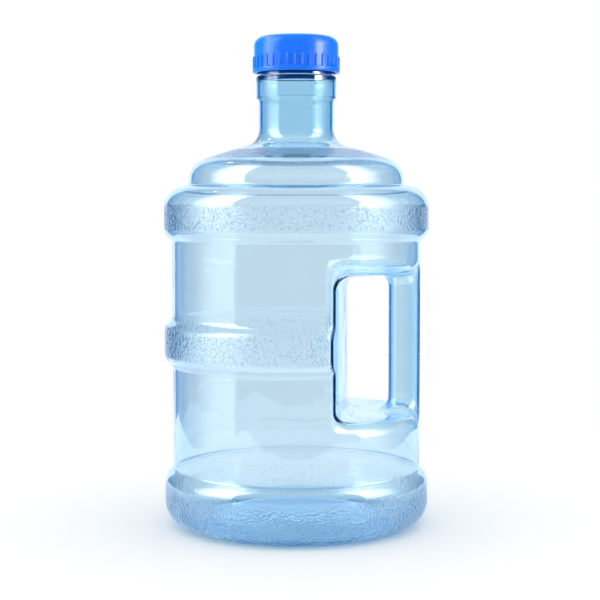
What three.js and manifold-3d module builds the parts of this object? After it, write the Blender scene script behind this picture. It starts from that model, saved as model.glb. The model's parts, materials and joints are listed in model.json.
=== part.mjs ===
// Five-litre water jug: one blow-moulded bottle with a hollow grip moulded into its side,
// a ribbed screw cap, and the sealing disc inside the cap.
// Millimetres, +Z up. The origin is the centre of the base, on the surface the jug stands on,
// and the grip is on the +X side.

import * as THREE from "three";
import { mergeVertices } from "three/addons/utils/BufferGeometryUtils.js";
import Module from "manifold-3d";

const wasm = await Module();
wasm.setup();

// ---- Driving dimensions: the bottle ----
const PANEL_RADIUS = 86.6; // straight side wall
const PANEL_HEIGHT = 158.1; // side wall, from the base ring to the top ring
const WALL = 1.6;
const RING_DEPTH = 5.6; // how far each moulded ring stands out from the side wall
const RING_ROUNDING = 11;
const BASE_RING_HEIGHT = 40.7;
const BASE_ROUNDING = 18;
const FOOT_INNER_RADIUS = 66; // inside edge of the flat ring that the jug stands on
const PUSH_UP_RADIUS = 38;
const PUSH_UP_HEIGHT = 11;
const PUSH_UP_ROUNDING = 25;
const FOOT_ROUNDING = 6;
const MID_RING_HEIGHT = 32.6; // centred on the hand pocket

// ---- Driving dimensions: the shoulder and neck ----
const TOP_RING_HEIGHT = 38.4;
const TOP_RING_ROUNDING = 15.4;
const TOP_RING_FOOT_ROUNDING = 8;
const SHOULDER_STEP = 17; // from the top ring in to the domed shoulder
const DOME_HEIGHT = 15.8;
const DOME_DRAFT = 1.3;
const DOME_ROUNDING = 16;
const CONE_ANGLE = THREE.MathUtils.degToRad(16.9);
const NECK_RADIUS = 26;
const NECK_WALL = 2.2;
const NECK_ROUNDING = 11.3;
const NECK_LENGTH = 27.2; // from the shoulder cone's edge to the collar
const COLLAR_DEPTH = 1.85;
const COLLAR_SLOPE = 3.4;
const COLLAR_HEIGHT = 14.65;
const COLLAR_ROUNDING = 1;
const FINISH_INSET = 0.4; // how much narrower the neck's threaded end is
const RIM_ROUNDING = 0.8;

// ---- Driving dimensions: the hand pocket and grip ----
const POCKET_HEIGHT = 96.5;
const POCKET_BELOW_RING = 21.8; // from the top of the side wall down to the pocket's ceiling
const POCKET_BOW = 10.5; // how far the pocket's back wall bows out between its two edges
const POCKET_BOW_SPAN = 160;
const POCKET_ROUNDING = 8;
const FINGER_GAP = 28.5;
const GRIP_THICKNESS = 22;
const GRIP_DEPTH = 25;
const GRIP_ROUNDING = 9;
const GRIP_FLARE = 10; // rounding where the grip meets the pocket's floor and ceiling

// ---- Driving dimensions: the thread, cap and sealing disc ----
const THREAD_PITCH = 5;
const THREAD_TURNS = 1.5;
const THREAD_DEPTH = 1.4;
const THREAD_ROOT_WIDTH = 2.6;
const THREAD_CREST_WIDTH = 1;
const THREAD_BELOW_RIM = 8; // from the rim down to the middle of the neck thread's top end
const THREAD_ABOVE_COLLAR = 7.3; // from the collar up to the middle of its lower end
const THREAD_RADIAL_GAP = 0.5;
const THREAD_FLANK_GAP = 0.45;
const CAP_GAP = 2.4; // from the collar up to the cap's lower edge
const CAP_WALL = 1.8;
const CAP_TOP = 2.3;
const CAP_TOP_ROUNDING = 6.5;
const RIB_COUNT = 36;
const RIB_DEPTH = 1;
const RIB_WIDTH = 1.3;
const RIB_HEIGHT = 8.6;
const RIB_BAND = 2.8; // plain band below the ribs
const SEAT_DEPTH = 3; // narrow top of the cap's hollow, which holds the sealing disc
const SEAL_THICKNESS = 1.5;
const TOUCH_GAP = 0.3; // between faces that touch on the real jug

// ---- Fineness ----
const ROUND_SEGMENTS = 48;
const ARC_STEP = Math.PI / 5;
const BOW_SEGMENTS = 6;
const GRIP_CORNER_SEGMENTS = 3;
const BEVEL_SEGMENTS = 3;
const THREAD_STEPS_PER_TURN = 24;
const OVERRUN = 1; // how far a cutting or joining shape runs past the face it passes through

// ---- Heights and radii that follow from the driving dimensions ----
const RING_RADIUS = PANEL_RADIUS + RING_DEPTH;
const PANEL_TOP = BASE_RING_HEIGHT + PANEL_HEIGHT;
const POCKET_CEILING = PANEL_TOP - POCKET_BELOW_RING;
const POCKET_MIDDLE = POCKET_CEILING - POCKET_HEIGHT / 2;
const MID_RING_MIDDLE = POCKET_MIDDLE;
const GRIP_INNER_X = PANEL_RADIUS - GRIP_THICKNESS;
const POCKET_BACK_X = GRIP_INNER_X - FINGER_GAP;
const STEP_HEIGHT = PANEL_TOP + TOP_RING_HEIGHT;
const DOME_RADIUS = RING_RADIUS - SHOULDER_STEP;
const CONE_EDGE_RADIUS = DOME_RADIUS - DOME_DRAFT;
const CONE_EDGE_HEIGHT = STEP_HEIGHT + DOME_HEIGHT;
const NECK_FOOT = coneHeight(NECK_RADIUS);
const COLLAR_FOOT = NECK_FOOT + NECK_LENGTH;
const COLLAR_TOP = COLLAR_FOOT + COLLAR_SLOPE + COLLAR_HEIGHT;
const THREAD_RISE = THREAD_TURNS * THREAD_PITCH;
const RIM_HEIGHT = COLLAR_TOP + THREAD_ABOVE_COLLAR + THREAD_RISE + THREAD_BELOW_RIM;
const BORE_RADIUS = NECK_RADIUS - NECK_WALL;
const FINISH_RADIUS = NECK_RADIUS - FINISH_INSET;
const CAP_BOTTOM = COLLAR_TOP + CAP_GAP;
const CAP_CEILING = RIM_HEIGHT + SEAL_THICKNESS + 2 * TOUCH_GAP;
const CAP_INNER_RADIUS = FINISH_RADIUS + THREAD_DEPTH + THREAD_RADIAL_GAP;
const CAP_OUTER_RADIUS = CAP_INNER_RADIUS + CAP_WALL;
const SEAT_RADIUS = FINISH_RADIUS + THREAD_RADIAL_GAP;
const FULL_TURN = 2 * Math.PI;

// Height of the shoulder cone's outer face at a radius.
function coneHeight(radius) {
  return CONE_EDGE_HEIGHT + (CONE_EDGE_RADIUS - radius) * Math.tan(CONE_ANGLE);
}

// ---- Outlines ----

// Points of an open outline whose corners, each [x, y, rounding], are replaced by arcs.
function roundedOutline(corners) {
  const points = [];
  corners.forEach(([x, y, rounding = 0], index) => {
    const corner = new THREE.Vector2(x, y);
    if (!rounding) {
      points.push(corner);
      return;
    }
    const arriving = corner.clone().sub(vectorAt(corners, index - 1)).normalize();
    const leaving = vectorAt(corners, index + 1).sub(corner).normalize();
    const turn = Math.atan2(arriving.cross(leaving), arriving.dot(leaving));
    const reach = rounding * Math.tan(Math.abs(turn) / 2);
    const start = corner.clone().addScaledVector(arriving, -reach);
    const side = new THREE.Vector2(-arriving.y, arriving.x).multiplyScalar(Math.sign(turn));
    const centre = start.clone().addScaledVector(side, rounding);
    const steps = Math.max(1, Math.round(Math.abs(turn) / ARC_STEP));
    for (let step = 0; step <= steps; step++) {
      points.push(start.clone().rotateAround(centre, (turn * step) / steps));
    }
  });
  return points;
}

function vectorAt(corners, index) {
  return new THREE.Vector2(corners[index][0], corners[index][1]);
}

// The same corners moved by a distance to the left of the direction in which they run,
// with each rounding made smaller or larger to keep the two outlines parallel.
function parallelCorners(corners, distance) {
  const normals = corners.slice(1).map((_, index) => {
    const edge = vectorAt(corners, index + 1).sub(vectorAt(corners, index)).normalize();
    return new THREE.Vector2(-edge.y, edge.x);
  });
  return corners.map(([x, y, rounding], index) => {
    const before = normals[Math.max(index - 1, 0)];
    const after = normals[Math.min(index, normals.length - 1)];
    const mitre = distance / (1 + before.dot(after));
    const bend = Math.sign(before.cross(after));
    return [
      x + (before.x + after.x) * mitre,
      y + (before.y + after.y) * mitre,
      rounding ? rounding - bend * distance : 0,
    ];
  });
}

// ---- Solids ----

function toSolid(geometry) {
  const bare = geometry.clone();
  bare.deleteAttribute("normal");
  bare.deleteAttribute("uv");
  const merged = mergeVertices(bare, 1e-4);
  const mesh = new wasm.Mesh({
    numProp: 3,
    vertProperties: merged.getAttribute("position").array,
    triVerts: new Uint32Array(merged.index.array),
  });
  return new wasm.Manifold(mesh);
}

function toGeometry(solid) {
  const mesh = solid.getMesh();
  const geometry = new THREE.BufferGeometry();
  geometry.setAttribute("position", new THREE.BufferAttribute(mesh.vertProperties, 3));
  geometry.setIndex(new THREE.BufferAttribute(mesh.triVerts, 1));
  geometry.computeVertexNormals();
  return geometry;
}

// A solid of revolution about Z from points [radius, height] that run up its outside.
function turned(points) {
  const lathe = new THREE.LatheGeometry(points, ROUND_SEGMENTS);
  return toSolid(lathe.rotateX(Math.PI / 2));
}

function plainCylinder(radius, bottom, top) {
  const corners = [[0, bottom], [radius, bottom], [radius, top], [0, top]];
  return turned(roundedOutline(corners));
}

// ---- The bottle's wall ----

function ringCorners(middle, height) {
  const flat = height / 2 - RING_DEPTH;
  return [
    [PANEL_RADIUS, middle - height / 2],
    [RING_RADIUS, middle - flat, RING_ROUNDING],
    [RING_RADIUS, middle + flat, RING_ROUNDING],
    [PANEL_RADIUS, middle + height / 2],
  ];
}

// The outside from the middle of the base up to the edge of the shoulder cone.
function bowlCorners() {
  return [
    [0, PUSH_UP_HEIGHT],
    [PUSH_UP_RADIUS, PUSH_UP_HEIGHT, PUSH_UP_ROUNDING],
    [FOOT_INNER_RADIUS, 0, FOOT_ROUNDING],
    [RING_RADIUS, 0, BASE_ROUNDING],
    [RING_RADIUS, BASE_RING_HEIGHT - RING_DEPTH, RING_ROUNDING],
    [PANEL_RADIUS, BASE_RING_HEIGHT],
    ...ringCorners(MID_RING_MIDDLE, MID_RING_HEIGHT),
    [PANEL_RADIUS, PANEL_TOP],
    [RING_RADIUS, PANEL_TOP + RING_DEPTH, TOP_RING_FOOT_ROUNDING],
    [RING_RADIUS, STEP_HEIGHT, TOP_RING_ROUNDING],
    [DOME_RADIUS, STEP_HEIGHT],
    [CONE_EDGE_RADIUS, CONE_EDGE_HEIGHT, DOME_ROUNDING],
    [NECK_RADIUS, NECK_FOOT, NECK_ROUNDING],
  ];
}

function bottleOutside() {
  const collarRadius = NECK_RADIUS + COLLAR_DEPTH;
  const corners = [
    ...bowlCorners(),
    [NECK_RADIUS, COLLAR_FOOT],
    [collarRadius, COLLAR_FOOT + COLLAR_SLOPE],
    [collarRadius, COLLAR_TOP, COLLAR_ROUNDING],
    [FINISH_RADIUS, COLLAR_TOP],
    [FINISH_RADIUS, RIM_HEIGHT, RIM_ROUNDING],
    [0, RIM_HEIGHT],
  ];
  return turned(roundedOutline(corners));
}

// The bore widens behind the collar, so that the wall there is as thick as the neck's.
function bottleInside() {
  const bowl = parallelCorners(bowlCorners(), WALL).slice(0, -1);
  const coneInset = WALL / Math.cos(CONE_ANGLE);
  const grooveRadius = BORE_RADIUS + COLLAR_DEPTH;
  const corners = [
    ...bowl,
    [BORE_RADIUS, coneHeight(BORE_RADIUS) - coneInset, NECK_ROUNDING + NECK_WALL],
    [BORE_RADIUS, COLLAR_FOOT],
    [grooveRadius, COLLAR_FOOT + COLLAR_SLOPE],
    [grooveRadius, COLLAR_TOP - COLLAR_SLOPE],
    [BORE_RADIUS, COLLAR_TOP],
    [BORE_RADIUS, RIM_HEIGHT + OVERRUN],
    [0, RIM_HEIGHT + OVERRUN],
  ];
  return turned(roundedOutline(corners));
}

// ---- The hand pocket and grip ----

// The block of air around the grip, grown outwards on all sides by a distance.
// Its back wall is an arc in plan that bows towards the grip.
function pocketSolid(growth) {
  const halfSpan = POCKET_BOW_SPAN / 2;
  const bowRadius = (halfSpan ** 2 + POCKET_BOW ** 2) / (2 * POCKET_BOW);
  const bowCentre = POCKET_BACK_X - bowRadius;
  const reach = RING_RADIUS + 2 * OVERRUN;
  const bowAngle = Math.asin(reach / bowRadius);
  const plan = new THREE.Shape();
  plan.absarc(bowCentre, 0, bowRadius - growth, -bowAngle, bowAngle);
  plan.lineTo(reach, reach);
  plan.lineTo(reach, -reach);
  const rounding = POCKET_ROUNDING + growth;
  const height = POCKET_HEIGHT + 2 * growth;
  const block = new THREE.ExtrudeGeometry(plan, {
    depth: height - 2 * rounding,
    bevelThickness: rounding,
    bevelSize: rounding,
    bevelOffset: -rounding,
    bevelSegments: BEVEL_SEGMENTS,
    curveSegments: BOW_SEGMENTS,
  });
  return toSolid(block.translate(0, 0, POCKET_MIDDLE - height / 2 + rounding));
}

function roundedRectangle(lowX, highX, halfDepth, rounding) {
  const rectangle = new THREE.Shape();
  rectangle.absarc(highX - rounding, halfDepth - rounding, rounding, 0, Math.PI / 2);
  rectangle.absarc(lowX + rounding, halfDepth - rounding, rounding, Math.PI / 2, Math.PI);
  rectangle.absarc(lowX + rounding, rounding - halfDepth, rounding, Math.PI, 1.5 * Math.PI);
  rectangle.absarc(highX - rounding, rounding - halfDepth, rounding, 1.5 * Math.PI, FULL_TURN);
  return rectangle;
}

// The upright grip, flared at both ends and trimmed to the side wall, made thinner all
// round by an inset. It runs a little way into the wall above and below the pocket.
function gripSolid(inset) {
  const plan = roundedRectangle(
    GRIP_INNER_X - GRIP_FLARE,
    PANEL_RADIUS + GRIP_FLARE,
    GRIP_DEPTH / 2 + GRIP_FLARE,
    GRIP_ROUNDING + GRIP_FLARE,
  );
  const flare = GRIP_FLARE + inset;
  const height = POCKET_HEIGHT + 2 * inset + OVERRUN;
  const column = new THREE.ExtrudeGeometry(plan, {
    depth: height - 2 * flare,
    bevelThickness: flare,
    bevelSize: -flare,
    bevelSegments: BEVEL_SEGMENTS,
    curveSegments: GRIP_CORNER_SEGMENTS,
  });
  const bottom = POCKET_MIDDLE - height / 2;
  const flared = toSolid(column.translate(0, 0, bottom + flare));
  const top = bottom + height;
  return flared.intersect(plainCylinder(PANEL_RADIUS - inset, bottom - OVERRUN, top + OVERRUN));
}

// ---- The thread ----

// A ridge that climbs anticlockwise round the Z axis. It stands out from a root radius by a
// depth, or inwards where the depth is negative, and both its ends taper into the wall.
function threadRidge(rootRadius, depth, middleHeight) {
  const steps = Math.round(THREAD_TURNS * THREAD_STEPS_PER_TURN);
  const buried = -Math.sign(depth) * OVERRUN;
  const section = new THREE.Shape([
    new THREE.Vector2(-THREAD_ROOT_WIDTH / 2, buried),
    new THREE.Vector2(THREAD_ROOT_WIDTH / 2, buried),
    new THREE.Vector2(THREAD_ROOT_WIDTH / 2, 0),
    new THREE.Vector2(THREAD_CREST_WIDTH / 2, depth),
    new THREE.Vector2(-THREAD_CREST_WIDTH / 2, depth),
    new THREE.Vector2(-THREAD_ROOT_WIDTH / 2, 0),
  ]);
  const ridge = new THREE.ExtrudeGeometry(section, { depth: steps, steps, bevelEnabled: false });
  const positions = ridge.getAttribute("position");
  const point = new THREE.Vector3();
  for (let index = 0; index < positions.count; index++) {
    point.fromBufferAttribute(positions, index);
    const turns = point.z / THREAD_STEPS_PER_TURN - THREAD_TURNS / 2;
    const atCrest = point.y * depth > 0;
    const atEnd = point.z === 0 || point.z === steps;
    const radius = rootRadius + (atCrest && atEnd ? buried / 2 : point.y);
    const angle = turns * FULL_TURN;
    const height = middleHeight + point.x + turns * THREAD_PITCH;
    positions.setXYZ(index, radius * Math.cos(angle), radius * Math.sin(angle), height);
  }
  return toSolid(ridge);
}

// ---- The three pieces ----

// The cap's thread lies just under the neck's, so that it bears upwards on it.
const THREAD_WIDTHS = (THREAD_ROOT_WIDTH + THREAD_CREST_WIDTH) / 2;
const NECK_THREAD_MIDDLE = RIM_HEIGHT - THREAD_BELOW_RIM - THREAD_RISE / 2;
const CAP_THREAD_MIDDLE = NECK_THREAD_MIDDLE - THREAD_WIDTHS - THREAD_FLANK_GAP;

function jugBody() {
  const outside = bottleOutside()
    .subtract(pocketSolid(0))
    .add(gripSolid(0))
    .add(threadRidge(FINISH_RADIUS, THREAD_DEPTH, NECK_THREAD_MIDDLE));
  const inside = bottleInside()
    .subtract(pocketSolid(WALL))
    .add(gripSolid(WALL));
  return outside.subtract(inside);
}

// A flat ring with ribs standing out of its edge.
function ribbedRing(bottom, height) {
  const outline = new THREE.Shape();
  const ribAngle = RIB_WIDTH / (CAP_OUTER_RADIUS + RIB_DEPTH);
  const pitch = FULL_TURN / RIB_COUNT;
  for (let rib = 0; rib < RIB_COUNT; rib++) {
    const start = rib * pitch - ribAngle / 2;
    const corners = [
      [CAP_OUTER_RADIUS, start],
      [CAP_OUTER_RADIUS + RIB_DEPTH, start],
      [CAP_OUTER_RADIUS + RIB_DEPTH, start + ribAngle],
      [CAP_OUTER_RADIUS, start + ribAngle],
    ];
    corners.forEach(([radius, angle], corner) => {
      const place = [radius * Math.cos(angle), radius * Math.sin(angle)];
      if (rib === 0 && corner === 0) {
        outline.moveTo(...place);
      } else {
        outline.lineTo(...place);
      }
    });
  }
  const ring = new THREE.ExtrudeGeometry(outline, { depth: height, bevelEnabled: false });
  return toSolid(ring.translate(0, 0, bottom));
}

function screwCap() {
  const bandRadius = CAP_OUTER_RADIUS + RIB_DEPTH;
  const bandTop = CAP_BOTTOM + RIB_BAND;
  const ribTop = bandTop + RIB_HEIGHT;
  const capHeight = CAP_CEILING + CAP_TOP;
  const shell = turned(roundedOutline([
    [0, CAP_BOTTOM],
    [bandRadius, CAP_BOTTOM, RIB_DEPTH],
    [bandRadius, bandTop],
    [CAP_OUTER_RADIUS, bandTop],
    [CAP_OUTER_RADIUS, capHeight, CAP_TOP_ROUNDING],
    [0, capHeight],
  ]));
  const seatBottom = CAP_CEILING - SEAT_DEPTH;
  const hollow = turned(roundedOutline([
    [0, CAP_BOTTOM - OVERRUN],
    [CAP_INNER_RADIUS, CAP_BOTTOM - OVERRUN],
    [CAP_INNER_RADIUS, seatBottom - CAP_INNER_RADIUS + SEAT_RADIUS],
    [SEAT_RADIUS, seatBottom],
    [SEAT_RADIUS, CAP_CEILING],
    [0, CAP_CEILING],
  ]));
  const ribs = ribbedRing(bandTop - RIB_DEPTH, ribTop - bandTop + RIB_DEPTH);
  const thread = threadRidge(CAP_INNER_RADIUS, -THREAD_DEPTH, CAP_THREAD_MIDDLE);
  return shell.add(ribs).subtract(hollow).add(thread);
}

function capSeal() {
  const bottom = RIM_HEIGHT + TOUCH_GAP;
  return plainCylinder(SEAT_RADIUS - TOUCH_GAP, bottom, bottom + SEAL_THICKNESS);
}

// ---- Materials and assembly ----

const polycarbonate = new THREE.MeshStandardMaterial({
  color: 0xa9cfe6,
  roughness: 0.08,
  metalness: 0,
  transparent: true,
  opacity: 0.4,
});
const capPlastic = new THREE.MeshStandardMaterial({ color: 0x0b66f0, roughness: 0.28, metalness: 0 });
const sealFoam = new THREE.MeshStandardMaterial({ color: 0xeef1f2, roughness: 0.7, metalness: 0 });

function piece(name, solid, material) {
  const mesh = new THREE.Mesh(toGeometry(solid), material);
  mesh.name = name;
  return mesh;
}

const jug = new THREE.Group();
jug.add(piece("jug_body", jugBody(), polycarbonate));
jug.add(piece("screw_cap", screwCap(), capPlastic));
jug.add(piece("cap_seal", capSeal(), sealFoam));

export default jug;
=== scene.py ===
"""Looks of a large water jug: a clear blue bottle with a hollow grip, a screw cap and its seal.

Shapes are worked out in millimetres around the jug's upright axis and handed to Blender in metres.
The grip is on the +X side and the jug stands on the plane z = 0.
"""

import json
import logging
import math
from dataclasses import dataclass, field
from enum import Enum
from typing import Callable, Sequence

import bpy
import numpy as np
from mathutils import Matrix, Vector

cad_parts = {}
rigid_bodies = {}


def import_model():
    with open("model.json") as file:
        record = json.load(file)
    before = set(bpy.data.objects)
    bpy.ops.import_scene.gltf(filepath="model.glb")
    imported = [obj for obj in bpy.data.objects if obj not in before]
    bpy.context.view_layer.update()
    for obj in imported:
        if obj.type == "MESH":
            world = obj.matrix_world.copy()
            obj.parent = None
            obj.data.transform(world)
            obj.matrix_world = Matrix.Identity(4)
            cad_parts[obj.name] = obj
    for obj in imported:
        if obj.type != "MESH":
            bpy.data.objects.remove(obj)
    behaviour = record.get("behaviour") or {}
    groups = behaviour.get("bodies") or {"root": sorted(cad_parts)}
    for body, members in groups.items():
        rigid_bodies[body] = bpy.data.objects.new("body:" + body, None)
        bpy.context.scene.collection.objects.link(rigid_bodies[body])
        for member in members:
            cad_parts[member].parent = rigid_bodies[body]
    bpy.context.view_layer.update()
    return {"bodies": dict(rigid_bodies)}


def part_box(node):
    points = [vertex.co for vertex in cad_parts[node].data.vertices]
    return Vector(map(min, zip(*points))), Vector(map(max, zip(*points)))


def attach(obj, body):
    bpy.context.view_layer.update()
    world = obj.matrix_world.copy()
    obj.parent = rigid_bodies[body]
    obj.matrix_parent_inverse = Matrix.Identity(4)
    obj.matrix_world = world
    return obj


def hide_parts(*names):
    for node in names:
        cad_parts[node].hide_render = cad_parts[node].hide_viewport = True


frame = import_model()

MM = 0.001
FULL_TURN = 2.0 * math.pi

log = logging.getLogger("water_jug")

Corner = tuple[float, float, float]
Quad = tuple[int, ...]
Mask = Callable[[np.ndarray], np.ndarray]


# ---------------------------------------------------------------------------
# Outlines
# ---------------------------------------------------------------------------


def rounded_outline(corners: Sequence[Corner], arc_step: float, longest: float) -> np.ndarray:
    """Turns corners into a smooth open outline.

    Args:
        corners: Corners as (radius, height, rounding) in order along the outline.
        arc_step: Largest turn of one step around a rounding, in radians.
        longest: Longest straight step, in millimetres.

    Returns:
        Points of the outline, one row of (radius, height) each.
    """
    points: list[np.ndarray] = []
    for index, (radius, height, rounding) in enumerate(corners):
        corner = np.array([radius, height])
        if rounding <= 0.0 or index in (0, len(corners) - 1):
            points.append(corner)
            continue
        arriving = corner - np.array(corners[index - 1][:2])
        leaving = np.array(corners[index + 1][:2]) - corner
        arriving /= np.linalg.norm(arriving)
        leaving /= np.linalg.norm(leaving)
        cross = arriving[0] * leaving[1] - arriving[1] * leaving[0]
        turn = math.atan2(cross, float(arriving @ leaving))
        start = corner - arriving * rounding * math.tan(abs(turn) / 2.0)
        side = np.array([-arriving[1], arriving[0]]) * math.copysign(1.0, turn)
        centre = start + side * rounding
        steps = max(1, math.ceil(abs(turn) / arc_step))
        for step in range(steps + 1):
            angle = turn * step / steps
            spin = np.array(
                [[math.cos(angle), -math.sin(angle)], [math.sin(angle), math.cos(angle)]]
            )
            points.append(centre + spin @ (start - centre))
    return divided(points, longest)


def divided(points: Sequence[np.ndarray], longest: float) -> np.ndarray:
    """Splits every straight step of an outline that is over the longest allowed.

    Args:
        points: Points of an open outline.
        longest: Longest step, in millimetres.

    Returns:
        The outline with the added points.
    """
    filled = [points[0]]
    for before, after in zip(points, points[1:]):
        length = float(np.linalg.norm(after - before))
        if length < 1e-6:
            continue
        steps = max(1, math.ceil(length / longest))
        for step in range(1, steps + 1):
            filled.append(before + (after - before) * step / steps)
    return np.array(filled)


def parallel_corners(corners: Sequence[Corner], distance: float) -> list[Corner]:
    """Moves an outline's corners to its left by a distance, and keeps its roundings parallel.

    Args:
        corners: Corners as (radius, height, rounding).
        distance: How far to move the outline, in millimetres.

    Returns:
        The corners of the parallel outline.
    """
    places = np.array([corner[:2] for corner in corners])
    edges = np.diff(places, axis=0)
    edges /= np.linalg.norm(edges, axis=1)[:, None]
    normals = np.stack([-edges[:, 1], edges[:, 0]], axis=1)
    moved: list[Corner] = []
    for index, (radius, height, rounding) in enumerate(corners):
        before = normals[max(index - 1, 0)]
        after = normals[min(index, len(normals) - 1)]
        mitre = distance / (1.0 + float(before @ after))
        bend = float(np.sign(before[0] * after[1] - before[1] * after[0]))
        kept = rounding - bend * distance if rounding > 0.0 else 0.0
        shift = (before + after) * mitre
        moved.append((radius + float(shift[0]), height + float(shift[1]), kept))
    return moved


def smooth_step(low: float, high: float, values: np.ndarray) -> np.ndarray:
    """Rises smoothly from 0 at low to 1 at high, for each value."""
    share = np.clip((values - low) / (high - low), 0.0, 1.0)
    return share * share * (3.0 - 2.0 * share)


# ---------------------------------------------------------------------------
# Sizes
# ---------------------------------------------------------------------------


@dataclass(frozen=True)
class BottleSizes:
    """Sizes of the bottle in millimetres, which its shape is built from.

    The widest radius and the rim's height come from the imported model's box.
    """

    ring_radius: float
    rim_height: float
    ring_depth: float = 5.6
    wall: float = 1.6
    neck_wall: float = 2.2
    base_ring_height: float = 40.7
    base_rounding: float = 18.0
    foot_inner_radius: float = 66.0
    foot_rounding: float = 6.0
    push_up_radius: float = 38.0
    push_up_height: float = 11.0
    push_up_rounding: float = 25.0
    ring_rounding: float = 11.0
    ring_foot_rounding: float = 2.4
    panel_height: float = 158.1
    mid_ring_height: float = 32.6
    mid_ring_rounding: float = 4.5
    mid_ring_low_rounding: float = 6.5
    mid_ring_foot_rounding: float = 3.0
    top_ring_height: float = 38.4
    top_ring_rounding: float = 15.4
    top_ring_foot_rounding: float = 8.0
    shoulder_step: float = 17.0
    step_rounding: float = 1.8
    dome_height: float = 15.8
    dome_draft: float = 1.3
    dome_rounding: float = 16.0
    cone_angle: float = math.radians(16.9)
    neck_radius: float = 26.0
    neck_rounding: float = 11.3
    neck_length: float = 27.2
    collar_depth: float = 1.85
    collar_slope: float = 3.4
    collar_height: float = 14.65
    collar_rounding: float = 1.1
    finish_inset: float = 0.4
    rim_rounding: float = 0.7
    rim_reach: float = 2.0
    finish_foot_rounding: float = 0.3

    @property
    def panel_radius(self) -> float:
        """Radius of the straight side wall."""
        return self.ring_radius - self.ring_depth

    @property
    def panel_top(self) -> float:
        """Height where the side wall meets the top ring."""
        return self.base_ring_height + self.panel_height

    @property
    def step_height(self) -> float:
        """Height of the step between the top ring and the dome."""
        return self.panel_top + self.top_ring_height

    @property
    def cone_edge(self) -> tuple[float, float]:
        """Radius and height where the dome turns into the shoulder cone."""
        radius = self.ring_radius - self.shoulder_step - self.dome_draft
        return radius, self.step_height + self.dome_height

    def cone_height(self, radius: float) -> float:
        """Height of the shoulder cone's outer face at a radius."""
        edge_radius, edge_height = self.cone_edge
        return edge_height + (edge_radius - radius) * math.tan(self.cone_angle)

    @property
    def collar_top(self) -> float:
        """Height of the collar's upper edge, below the cap."""
        foot = self.cone_height(self.neck_radius) + self.neck_length
        return foot + self.collar_slope + self.collar_height

    @property
    def finish_radius(self) -> float:
        """Radius of the threaded end of the neck."""
        return self.neck_radius - self.finish_inset

    @property
    def bore_radius(self) -> float:
        """Inside radius of the neck."""
        return self.neck_radius - self.neck_wall


@dataclass(frozen=True)
class PocketSizes:
    """Sizes of the hand pocket and its grip, in millimetres."""

    height: float = 96.5
    below_panel_top: float = 21.8
    bow: float = 10.5
    bow_span: float = 160.0
    rounding: float = 8.0
    finger_gap: float = 28.5
    grip_thickness: float = 22.0
    grip_depth: float = 25.0
    grip_rounding: float = 9.0
    grip_flare: float = 10.0
    side_lip: float = 2.8
    end_lip: float = 10.0
    grip_lip: float = 8.5
    end_reach: tuple[float, float] = (-24.0, -4.0)
    corner_reach: tuple[float, float] = (-9.0, 7.0)
    grip_reach: tuple[float, float] = (30.0, 60.0)
    ring_end: tuple[float, float] = (24.0, 44.0)

    def middle(self, panel_top: float) -> float:
        """Height of the middle of the pocket, under a side wall that ends at panel_top."""
        return panel_top - self.below_panel_top - self.height / 2.0


@dataclass(frozen=True)
class SkinSizes:
    """Where the pebbled skin lies and where the wall's colour is deepened, partly as painted
    shade, in millimetres.
    """

    ring_margin: float = 0.6
    base_top: float = 30.5
    base_inset: float = 4.0
    heel_middle: tuple[float, float] = (74.2, 18.0)
    heel_radius: float = 17.4
    middle_lift: float = 1.0
    middle_half: float = 9.8
    top_band: tuple[float, float] = (206.5, 223.5)
    cone_margin: float = 0.4
    cone_band: tuple[float, float] = (40.0, 61.0)
    cone_strength: float = 2.0
    neck_depth: float = 0.45
    neck_reach: tuple[float, float] = (-6.0, 10.0)
    heel_depth: float = 0.45
    heel_reach: tuple[float, float] = (0.0, 24.0)
    end_reach: tuple[float, float] = (-10.0, 12.0)
    grip_least_radius: float = 50.0
    grip_reach: tuple[float, float] = (-12.0, 0.0)
    # Painted shade: the grip's tint, and the extra at its inner and outer edges where its walls
    # are seen edge on.
    grip_tint_and_shade: tuple[float, float] = (0.12, 0.8)
    inner_edge: tuple[float, float] = (0.5, 4.5)
    outer_edge: tuple[float, float] = (6.0, 20.0)
    outer_share: float = 0.45


@dataclass(frozen=True)
class ThreadSizes:
    """Sizes of the screw thread on the neck and in the cap, in millimetres."""

    pitch: float = 5.0
    turns: float = 1.5
    depth: float = 1.4
    root_width: float = 2.6
    crest_width: float = 1.0
    below_rim: float = 8.0
    radial_gap: float = 0.5
    flank_gap: float = 0.45
    fade: float = math.radians(16.0)

    def ridge(self, angles: np.ndarray, heights: np.ndarray, rim_height: float) -> np.ndarray:
        """Height of the helical ridge above its root surface.

        Args:
            angles: Angles of the meridians, in radians.
            heights: Heights of the rings above the jug's foot, in millimetres.
            rim_height: Height that the ridge hangs from, in millimetres.

        Returns:
            How far the ridge stands out, in millimetres, as rings by meridians.
        """
        half = self.turns * math.pi
        middle = rim_height - self.below_rim - self.turns * self.pitch / 2.0
        angles = ((angles + math.pi) % FULL_TURN - math.pi)[None, :]
        heights = heights[:, None]
        result = np.zeros(np.broadcast(angles, heights).shape)
        first = math.floor(-half / FULL_TURN) - 1
        last = math.ceil(half / FULL_TURN) + 1
        for lap in range(first, last + 1):
            along = angles + lap * FULL_TURN
            offset = np.abs(heights - middle - along * self.pitch / FULL_TURN)
            flank = (self.root_width - self.crest_width) / 2.0
            profile = 1.0 - np.clip((offset - self.crest_width / 2.0) / flank, 0.0, 1.0)
            ends = smooth_step(-half, -half + self.fade, along)
            ends = ends * (1.0 - smooth_step(half - self.fade, half, along))
            result = np.maximum(result, self.depth * profile * ends)
        return result


# ---------------------------------------------------------------------------
# Mesh making
# ---------------------------------------------------------------------------


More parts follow.
